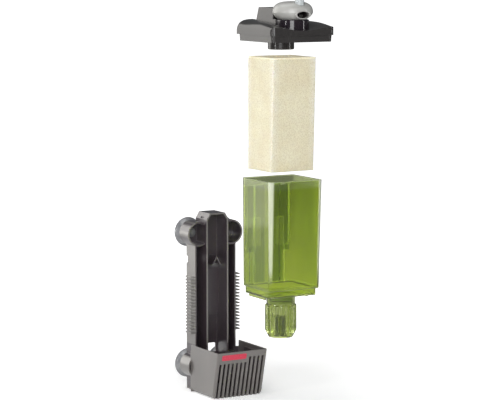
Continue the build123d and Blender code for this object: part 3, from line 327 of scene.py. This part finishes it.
def canister_plastic(name):
    """Clear green canister: a pale band along the top, painted highlights on its rounded edges and front
    corner, painted dark shade lines at the step and the foot, darker where the guide pads and rails lie
    behind it.
    """
    graph = Graph(name)
    low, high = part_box("canister_shell")
    x, y, z = graph.axes()
    across = graph.maths("ABSOLUTE", x)
    flow = graph.noise(22.0, 3.0, vector=graph.stretched((1.0, 1.0, 0.2)))
    tone = graph.ramp(flow, (0.64, 0.76, 0.17), (0.77, 0.86, 0.26), 0.3, 0.7)
    behind = graph.beyond(y, high.y - BACK_WALL, BACK_WALL_SOFT)
    foot = low.z + NECK_DROP
    step = foot + FOOT_HEIGHT
    wide, slim, opening = [
        graph.both(
            graph.between(across, inner, outer),
            graph.between(z, step + bottom, step + top),
        )
        for inner, outer, bottom, top in (WIDE_PAD, SLIM_PAD, PAD_OPENING)
    ]
    rail = graph.both(graph.maths("MAXIMUM", wide, slim), behind)
    tone = graph.mix(graph.part(rail, 0.8), tone, (0.17, 0.30, 0.03, 1.0))
    opening = graph.both(opening, behind)
    tone = graph.mix(graph.part(opening, 0.5), tone, (0.66, 0.78, 0.30, 1.0))
    # painted shade: dark lines at the step and the foot, where refraction darkens the clear plastic
    shade_lines = graph.maths(
        "MAXIMUM",
        graph.between(z, step + STEP_SHADE_LINE[0], step + STEP_SHADE_LINE[1], SHADE_LINE_SOFT),
        graph.between(z, foot + FOOT_SHADE_LINE[0], foot + FOOT_SHADE_LINE[1], SHADE_LINE_SOFT),
    )
    tone = graph.mix(graph.part(shade_lines, 0.85), tone, (0.06, 0.10, 0.01, 1.0))
    rim = graph.beyond(z, high.z - PALE_RIM, PALE_RIM_SOFT)
    tone = graph.mix(graph.part(rim, 0.8), tone, (0.84, 0.92, 0.58, 1.0))
    # painted highlights on the rounded edges, which also let less light through
    mask, rounded = graph.edges(2.6 * MM)
    tone = graph.mix(graph.part(mask, 0.6), tone, (0.88, 0.95, 0.70, 1.0))
    # painted highlight down the front corner, which also lets less light through
    front = graph.within(y, low.y + CORNER_DEPTH, CORNER_SOFT)
    corner_highlight = graph.both(front, graph.beyond(across, high.x - CORNER_WIDTH, CORNER_SOFT))
    corner_highlight = graph.both(corner_highlight, graph.beyond(z, step + CORNER_START, CORNER_START_SOFT))
    tone = graph.mix(graph.part(corner_highlight, 0.9), tone, (0.96, 0.99, 0.86, 1.0))
    ripple = graph.noise(60.0, 2.0)
    graph.set(
        Base_Color=tone,
        Roughness=graph.span(ripple, 0.03, 0.07, 0.3, 0.7),
        IOR=1.35,
        Transmission_Weight=graph.span(graph.maths("MAXIMUM", mask, corner_highlight), 0.97, 0.55),
        Specular_IOR_Level=0.5,
        Normal=graph.bump(ripple, 0.08, 0.5 * MM, rounded),
    )
    return graph.material


def clear_plastic(name, colour, roughness, cloud, haze=0.12):
    """Tinted see-through plastic with a little haze, flow lines and painted highlights on its rounded
    edges.
    """
    graph = Graph(name)
    flow = graph.noise(22.0, 3.0, vector=graph.stretched((1.0, 1.0, 0.2)))
    tone = graph.ramp(flow, scaled(colour, 0.93), scaled(colour, 1.07), 0.3, 0.7)
    # painted highlights: the rounded edges take the cloud colour
    mask, rounded = graph.edges(1.0 * MM)
    body = graph.mix(graph.part(mask, 0.35), tone, rgba(cloud))
    ripple = graph.noise(60.0, 2.0)
    graph.set(
        Base_Color=body,
        Roughness=graph.span(ripple, roughness, roughness + 0.06, 0.3, 0.7),
        IOR=1.49,
        Transmission_Weight=1.0 - haze,
        Specular_IOR_Level=0.5,
        Normal=graph.bump(ripple, 0.08, 0.5 * MM, rounded),
    )
    return graph.material


def sealing_rubber(name, colour):
    """Matt black rubber with a dusty bloom."""
    graph = Graph(name)
    dust = graph.noise(320.0, 4.0, 0.65)
    graph.set(
        Base_Color=graph.ramp(dust, colour, scaled(colour, 2.6), 0.35, 0.8),
        Roughness=graph.span(dust, 0.55, 0.8),
        Normal=graph.bump(dust, 0.12, 0.1 * MM),
    )
    return graph.material


def laminated_steel(name):
    """Stacked stator sheets: fine dark lines between bright edges."""
    graph = Graph(name)
    sheets = graph.bands(420.0, "Z")
    stain = graph.noise(90.0, 4.0, 0.6)
    steel = graph.ramp(sheets, (0.16, 0.15, 0.15), (0.55, 0.55, 0.56), 0.1, 0.5)
    graph.set(
        Base_Color=graph.mix(graph.span(stain, 0.0, 0.35), steel, (0.30, 0.20, 0.13, 1.0)),
        Metallic=0.9,
        Roughness=graph.span(stain, 0.3, 0.5),
        Normal=graph.bump(sheets, 0.35, 0.1 * MM),
    )
    return graph.material


def copper_winding(name):
    """Enamelled wire laid side by side, with painted shade between the turns."""
    graph = Graph(name)
    # painted shade: each turn runs from dark between the wires to bright copper on top
    turns = graph.bands(260.0, "X", 0.4)
    graph.set(
        Base_Color=graph.ramp(turns, (0.20, 0.06, 0.02), (0.80, 0.36, 0.16), 0.0, 0.6),
        Metallic=0.85,
        Roughness=0.32,
        Normal=graph.bump(turns, 0.8, 0.25 * MM),
    )
    return graph.material


def bright_steel(name):
    """Plated screw steel with turning marks."""
    graph = Graph(name)
    marks = graph.noise(900.0, 2.0, vector=graph.stretched((1.0, 1.0, 6.0)))
    graph.set(
        Base_Color=graph.ramp(marks, (0.48, 0.48, 0.47), (0.68, 0.68, 0.67), 0.3, 0.7),
        Metallic=1.0,
        Roughness=graph.span(marks, 0.22, 0.38),
    )
    return graph.material


def fired_ceramic(name, colour, speck):
    """Polished ceramic or sintered magnet: fine grains under a smooth ground surface."""
    graph = Graph(name)
    grain = graph.cells(1800.0)
    graph.set(
        Base_Color=graph.ramp(grain, colour, speck, 0.2, 0.9),
        Roughness=graph.span(grain, 0.25, 0.4),
        Normal=graph.bump(grain, 0.06, 0.05 * MM),
    )
    return graph.material


# painted light along the foam's corners, where light shines through the thin foam
FOAM_PALE_BAND = 12 * MM  # width of the paler stretch along a corner
FOAM_GLOW_BAND = 2 * MM
FOAM_GLOW_SOFT = 1 * MM


def foam_material(name):
    """Open-cell filter foam: cream, fine and coarse pores with painted shade in them, painted light along
    the corners, a weak painted glow on top.
    """
    graph = Graph(name)
    low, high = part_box("filter_cartridge")
    x, y, z = graph.axes()
    # painted shade in the pores: their middles take the darker colour, the cell walls the cream
    pores = graph.span(graph.cells(1050.0), 0.0, 1.0, 0.10, 0.55)
    coarse = graph.span(graph.cells(480.0), 0.0, 1.0, 0.05, 0.50)
    walls = graph.both(graph.span(pores, 0.30, 1.0), graph.span(coarse, 0.35, 1.0))
    cloud = graph.noise(30.0, 3.0)
    tone = graph.ramp(cloud, (0.80, 0.73, 0.53), (0.88, 0.83, 0.63), 0.3, 0.7)
    # painted light along the vertical corners
    middle = (low.y + high.y) / 2
    across = graph.span(graph.maths("ABSOLUTE", x), 0.0, 1.0, high.x - FOAM_PALE_BAND, high.x)
    along = graph.maths("ABSOLUTE", graph.maths("SUBTRACT", y, middle))
    along = graph.span(along, 0.0, 1.0, high.y - middle - FOAM_PALE_BAND, high.y - middle)
    tone = graph.mix(graph.part(graph.both(across, along), 0.8), tone, (0.93, 0.92, 0.84, 1.0))
    # painted glow on top, in place of the light that the head above keeps off
    top = graph.beyond(z, high.z - FOAM_GLOW_BAND, FOAM_GLOW_SOFT)
    graph.set(
        Base_Color=graph.mix(walls, (0.58, 0.49, 0.31, 1.0), tone),
        Roughness=0.9,
        Subsurface_Weight=0.5,
        Subsurface_Radius=(1.0, 0.85, 0.55),
        Subsurface_Scale=5 * MM,
        Emission_Color=(0.80, 0.72, 0.50, 1.0),
        Emission_Strength=graph.part(top, 0.35),
        Normal=graph.bump(walls, 0.6, 0.5 * MM),
    )
    return graph.material


def cup_material(name):
    """Soft silvery-grey PVC of the suction cups, with the dust that it picks up."""
    graph = Graph(name)
    cloud = graph.noise(70.0, 3.0)
    dust = graph.noise(900.0, 3.0, 0.6)
    graph.set(
        Base_Color=graph.ramp(cloud, (0.20, 0.20, 0.21), (0.31, 0.31, 0.32), 0.3, 0.7),
        Roughness=graph.span(dust, 0.14, 0.30, 0.3, 0.7),
        Coat_Weight=0.6,
        Coat_Roughness=0.08,
        Normal=graph.bump(cloud, 0.06, 0.5 * MM),
    )
    return graph.material


def printed_ink(name, colour):
    """Pad-printed ink: slightly uneven cover over the plastic's grain."""
    graph = Graph(name)
    cover = graph.noise(700.0, 3.0, 0.6)
    graph.set(
        Base_Color=graph.ramp(cover, scaled(colour, 0.86), scaled(colour, 1.1), 0.3, 0.7),
        Roughness=graph.span(cover, 0.35, 0.5),
        Normal=graph.bump(cover, 0.1, 0.05 * MM),
    )
    return graph.material


HEAD_GREY = (0.030, 0.027, 0.026)
MATERIALS = {
    "holder_plastic": holder_plastic("holder_plastic"),
    "head_plastic": moulded_plastic("head_plastic", HEAD_GREY, 0.34, 2.6, 0.01, 0.55),
    "collar_plastic": moulded_plastic("collar_plastic", (0.018, 0.013, 0.018), 0.12, 2.4, 0.01, 0.6),
    "grey_plastic": moulded_plastic("grey_plastic", (0.56, 0.55, 0.52), 0.34, 1.25, 0.03, 0.2),
    "clear_plastic": clear_plastic("clear_plastic", (0.66, 0.70, 0.70), 0.20, (0.90, 0.93, 0.93), 0.75),
    "green_clear": clear_plastic("green_clear", (0.62, 0.70, 0.27), 0.04, (0.92, 0.96, 0.72), 0.03),
    "foam": foam_material("foam"),
    "cup_rubber": cup_material("cup_rubber"),
    "seal_rubber": sealing_rubber("seal_rubber", (0.012, 0.012, 0.012)),
    "cable_rubber": sealing_rubber("cable_rubber", (0.018, 0.018, 0.018)),
    "steel": bright_steel("steel"),
    "copper": copper_winding("copper"),
    "magnet": fired_ceramic("magnet", (0.035, 0.035, 0.04), (0.09, 0.09, 0.10)),
    "ceramic": fired_ceramic("ceramic", (0.80, 0.80, 0.76), (0.90, 0.90, 0.88)),
}
LAMINATED = laminated_steel("laminated_steel")
CANISTER = canister_plastic("canister_plastic")
NOZZLE = nozzle_plastic("nozzle_plastic")
# painted shade: a darker copy of the clear green for the core inside the strainer
SHADED_CORE_GREEN = clear_plastic("shaded_core_green", (0.16, 0.20, 0.05), 0.10, (0.25, 0.30, 0.10), 0.4)
PRINT = printed_ink("printed_bar", (0.72, 0.055, 0.10))


def dress(piece, material):
    piece.data.materials.clear()
    piece.data.materials.append(material)


SLOT_OF = {row["node"]: row["material_slot"] for row in frame["record"]["subparts"]}
for node_name, node in NODES.items():
    dress(node, MATERIALS[SLOT_OF[node_name]])
dress(NODES["stator_core"], LAMINATED)
dress(NODES["canister_shell"], CANISTER)
dress(NODES["outlet_nozzle"], NOZZLE)
dress(NODES["strainer_core"], SHADED_CORE_GREEN)


# ---------------------------------------------------------------- mesh helpers
def piece_from(name, vertices, faces, body, material, smooth=True):
    """Makes a mesh piece that rides on a body."""
    mesh = bpy.data.meshes.new(name)
    mesh.from_pydata([tuple(v) for v in vertices], [], faces)
    mesh.validate()
    if smooth:
        mesh.polygons.foreach_set("use_smooth", [True] * len(mesh.polygons))
    piece = bpy.data.objects.new(name, mesh)
    bpy.context.scene.collection.objects.link(piece)
    mesh.materials.append(material)
    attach(piece, body)
    return piece


# ---------------------------------------------------------------- filter foam
FOAM_GRID = 0.9 * MM
PORE_DEPTH = 0.38 * MM
PORE_SIZE = 1.9 * MM
PORE_STEEPNESS = 1.5
PORE_VARIATION = 0.4
DENT_DEPTH = 0.5 * MM
DENT_SIZE = 26 * MM


def closed_grid(node, size):
    """An even grid of small faces over a CAD node's closed surface."""
    copy = bpy.data.objects.new("grid", node.data.copy())
    bpy.context.scene.collection.objects.link(copy)
    remesh = copy.modifiers.new("grid", "REMESH")
    remesh.mode = "VOXEL"
    remesh.voxel_size = size
    grid = bpy.data.meshes.new_from_object(copy.evaluated_get(bpy.context.evaluated_depsgraph_get()))
    bpy.data.objects.remove(copy)
    return grid


def pore(place):
    """How deep a foam surface lies at this place: 0 on a cell wall, 1 in the middle of a pore."""
    nearest = noise.voronoi(place / PORE_SIZE)[0][0]
    depth = max(0.0, 1.0 - PORE_STEEPNESS * nearest)
    return depth * (1.0 - PORE_VARIATION + PORE_VARIATION * noise.noise(place / PORE_SIZE))


def make_foam(node_name, name, body):
    """Cut foam block: torn pores over the whole surface and the slight dents of handling."""
    mesh = closed_grid(NODES[node_name], FOAM_GRID)
    mesh.name = name
    places = [v.co.copy() for v in mesh.vertices]
    normals = [v.normal.copy() for v in mesh.vertices]
    for vertex, place, normal in zip(mesh.vertices, places, normals):
        dent = 0.5 + 0.5 * noise.noise(place / DENT_SIZE)
        vertex.co = place - normal * (PORE_DEPTH * pore(place) + DENT_DEPTH * dent * dent)
    mesh.polygons.foreach_set("use_smooth", [True] * len(mesh.polygons))
    mesh.materials.clear()
    mesh.materials.append(MATERIALS["foam"])
    foam = bpy.data.objects.new(name, mesh)
    bpy.context.scene.collection.objects.link(foam)
    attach(foam, body)
    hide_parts(node_name)


make_foam("filter_cartridge", "foam_cartridge", "cartridge")

# ---------------------------------------------------------------- suction cups
CUP_STEPS = 96
CUP_CURVE_STEPS = 4
# half section of a cup in millimetres: radius, and distance in front of the glass
CUP_PROFILE = [
    (0.0, 4.2), (5.0, 4.1), (10.0, 3.5), (14.5, 2.4), (18.0, 1.0), (20.2, 0.15), (21.0, 0.0),
    (21.45, 0.35), (21.3, 0.95), (20.0, 2.2), (18.6, 4.2), (17.4, 6.6), (16.3, 8.2), (15.2, 8.75),
    (13.0, 8.8), (8.0, 8.8), (5.4, 8.8), (4.95, 9.2), (4.95, 10.6), (4.95, 11.2), (6.0, 11.5),
    (7.1, 11.9), (6.6, 12.7), (5.0, 13.8), (3.0, 15.1), (1.2, 15.7), (0.0, 15.8),
]


def curve_value(a, b, c, d, t):
    """Catmull-Rom value a share t of the way from b to c."""
    square = (2 * a - 5 * b + 4 * c - d) * t * t
    cube = (3 * b - a - 3 * c + d) * t**3
    return 0.5 * (2 * b + (c - a) * t + square + cube)


def smoothed(points, steps):
    """Points along a smooth curve through the given ones."""
    padded = [points[0]] + list(points) + [points[-1]]
    curve = []
    for p0, p1, p2, p3 in zip(padded, padded[1:], padded[2:], padded[3:]):
        for k in range(steps):
            curve.append(tuple(curve_value(*values, k / steps) for values in zip(p0, p1, p2, p3)))
    curve.append(points[-1])
    return curve


def make_cup(node_name):
    """Moulded suction cup: a turned body with a thin rolled lip, a stem and its retaining bulb."""
    low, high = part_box(node_name)
    centre_x, centre_z = (low.x + high.x) / 2, (low.z + high.z) / 2
    profile = smoothed(CUP_PROFILE, CUP_CURVE_STEPS)
    vertices = [(centre_x, high.y - profile[0][1] * MM, centre_z)]
    for radius, depth in profile[1:-1]:
        for k in range(CUP_STEPS):
            turn = 2 * math.pi * k / CUP_STEPS
            vertices.append((
                centre_x + max(0.0, radius) * MM * math.cos(turn),
                high.y - depth * MM,
                centre_z + max(0.0, radius) * MM * math.sin(turn),
            ))
    vertices.append((centre_x, high.y - profile[-1][1] * MM, centre_z))
    rings = len(profile) - 2
    last = len(vertices) - 1
    faces = []
    for k in range(CUP_STEPS):
        following = (k + 1) % CUP_STEPS
        faces.append((0, 1 + k, 1 + following))
        faces.append((last, last - CUP_STEPS + following, last - CUP_STEPS + k))
        for ring in range(rings - 1):
            here, there = 1 + ring * CUP_STEPS, 1 + (ring + 1) * CUP_STEPS
            faces.append((here + k, there + k, there + following, here + following))
    cup = piece_from(f"{node_name}_rubber", vertices, faces, "holder", MATERIALS["cup_rubber"])
    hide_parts(node_name)


for node_name in NODES:
    if node_name.startswith("suction_cup"):
        make_cup(node_name)

# ---------------------------------------------------------------- printed bar
BAR_LEFT, BAR_RIGHT = -33 * MM, 7 * MM
BAR_LOW, BAR_HIGH = 57.5 * MM, 65.5 * MM
BAR_ROUNDING = 2.0 * MM
BAR_ROUNDING_STEPS = 8
BAR_BACK, BAR_FACE = 0.02 * MM, 0.12 * MM  # in front of the basket's face


def make_bar():
    """Plain printed bar on the basket's front, a thin film of ink with rounded corners."""
    corners = [
        (BAR_RIGHT - BAR_ROUNDING, BAR_HIGH - BAR_ROUNDING, 0.0),
        (BAR_LEFT + BAR_ROUNDING, BAR_HIGH - BAR_ROUNDING, 0.5 * math.pi),
        (BAR_LEFT + BAR_ROUNDING, BAR_LOW + BAR_ROUNDING, math.pi),
        (BAR_RIGHT - BAR_ROUNDING, BAR_LOW + BAR_ROUNDING, 1.5 * math.pi),
    ]
    outline = []
    for x, z, start in corners:
        for k in range(BAR_ROUNDING_STEPS + 1):
            turn = start + 0.5 * math.pi * k / BAR_ROUNDING_STEPS
            outline.append((x + BAR_ROUNDING * math.cos(turn), z + BAR_ROUNDING * math.sin(turn)))
    vertices = []
    for film in (BAR_BACK, BAR_FACE):
        vertices += [(x, BASKET_FOOT_FRONT - BASKET_LEAN * z - film, z) for x, z in outline]
    count = len(outline)
    faces = [tuple(range(count)), tuple(range(2 * count - 1, count - 1, -1))]
    faces += [(k, count + k, count + (k + 1) % count, (k + 1) % count) for k in range(count)]
    piece_from("printed_bar", vertices, faces, "holder", PRINT, smooth=False)


make_bar()


# ---------------------------------------------------------------- stage
WORLD_STRENGTH = 0.12
FLOOR_HALF = 40.0
FLOOR_GAP = 0.2 * MM
GLOW_STRENGTH = (0.36, 1.1)  # of the floor, near the row and far out
GLOW_RANGE = (0.18, 0.7)
CENTRE = (CAD_LOW + CAD_HIGH) / 2  # of the row's box


def area_light(name, place, aim, size, power, colour):
    data = bpy.data.lights.new(name, "AREA")
    data.shape = "RECTANGLE"
    data.size, data.size_y = size
    data.energy = power
    data.color = colour
    light = bpy.data.objects.new(name, data)
    light.location = place
    light.rotation_mode = "QUATERNION"
    light.rotation_quaternion = (Vector(aim) - Vector(place)).to_track_quat("-Z", "Y")
    bpy.context.scene.collection.objects.link(light)


def floor_material():
    """Paper that takes the holder's soft shadow and fades to the white of the surroundings further out."""
    graph = Graph("floor_paper")
    fibre = graph.noise(260.0, 4.0)
    away = graph.add("ShaderNodeVectorMath", {0: graph.place}, operation="LENGTH").outputs["Value"]
    fade = graph.span(away, *GLOW_STRENGTH, *GLOW_RANGE)
    eye = graph.add("ShaderNodeLightPath").outputs["Is Camera Ray"]
    graph.set(
        Base_Color=graph.ramp(fibre, (0.90, 0.90, 0.90), (0.94, 0.94, 0.94), 0.3, 0.7),
        Roughness=0.9,
        Specular_IOR_Level=0.1,
        Emission_Color=WHITE,
        Emission_Strength=graph.maths("MULTIPLY", fade, eye),
    )
    return graph.material


def build_floor():
    """Pale paper floor under the holder."""
    mesh = bpy.data.meshes.new("floor")
    corners = [(-1, -1), (1, -1), (1, 1), (-1, 1)]
    height = CAD_LOW.z - FLOOR_GAP
    mesh.from_pydata([(x * FLOOR_HALF, y * FLOOR_HALF, height) for x, y in corners], [], [(0, 1, 2, 3)])
    floor = bpy.data.objects.new("floor", mesh)
    bpy.context.scene.collection.objects.link(floor)
    mesh.materials.append(floor_material())


def build_world():
    """White surroundings for the eye and through clear plastic, dimmer ones for lighting."""
    world = bpy.data.worlds.new("studio")
    bpy.context.scene.world = world
    world.use_nodes = True
    tree = world.node_tree
    tree.nodes.clear()
    output = tree.nodes.new("ShaderNodeOutputWorld")
    blend = tree.nodes.new("ShaderNodeMixShader")
    seen = tree.nodes.new("ShaderNodeBackground")
    lighting = tree.nodes.new("ShaderNodeBackground")
    path = tree.nodes.new("ShaderNodeLightPath")
    either = tree.nodes.new("ShaderNodeMath")
    either.operation = "MAXIMUM"
    seen.inputs["Color"].default_value = WHITE
    lighting.inputs["Color"].default_value = (0.92, 0.96, 1.0, 1.0)
    lighting.inputs["Strength"].default_value = WORLD_STRENGTH
    tree.links.new(path.outputs["Is Camera Ray"], either.inputs[0])
    tree.links.new(path.outputs["Is Transmission Ray"], either.inputs[1])
    tree.links.new(either.outputs["Value"], blend.inputs["Fac"])
    tree.links.new(lighting.outputs["Background"], blend.inputs[1])
    tree.links.new(seen.outputs["Background"], blend.inputs[2])
    tree.links.new(blend.outputs["Shader"], output.inputs["Surface"])


def build_camera():
    a, e = math.radians(CAMERA_AZIMUTH), math.radians(CAMERA_ELEVATION)
    back = Vector((math.sin(a) * math.cos(e), -math.cos(a) * math.cos(e), math.sin(e)))
    right = Vector((math.cos(a), math.sin(a), 0.0))
    aim = TARGET + right * AIM_RIGHT + back.cross(right) * AIM_UP
    data = bpy.data.cameras.new("camera")
    data.lens = CAMERA_LENS
    camera = bpy.data.objects.new("camera", data)
    camera.location = TARGET + back * CAMERA_DISTANCE
    camera.rotation_mode = "QUATERNION"
    camera.rotation_quaternion = (aim - camera.location).to_track_quat("-Z", "Y")
    bpy.context.scene.collection.objects.link(camera)
    bpy.context.scene.camera = camera


def around(azimuth, distance, height):
    """A place this far from the middle of the row, at an azimuth and a height."""
    turn = math.radians(azimuth)
    return CENTRE + Vector((math.sin(turn) * distance, -math.cos(turn) * distance, height))


build_floor()
build_world()
build_camera()
# each light: name, place round the row, aim, width and height in metres, watts, colour
area_light("softbox_left", around(-148, 1.7, 0.35), CENTRE, (1.2, 1.9), 15.0, (1.0, 0.98, 0.94))
area_light("fill_front", around(-34, 2.1, 0.7), CENTRE, (1.0, 1.2), 29.0, (0.98, 0.99, 1.0))
area_light("strip_left", around(-76, 1.7, 0.1), CENTRE, (0.05, 1.6), 8.0, (1.0, 1.0, 1.0))
area_light("strip_right", around(50, 1.8, 0.2), CENTRE, (0.05, 1.4), 5.5, (1.0, 1.0, 1.0))
area_light("top", CENTRE + Vector((-0.3, 0.3, 1.5)), CENTRE, (1.2, 1.2), 9.0, (1.0, 1.0, 1.0))
bpy.context.scene.view_settings.view_transform = "Standard"
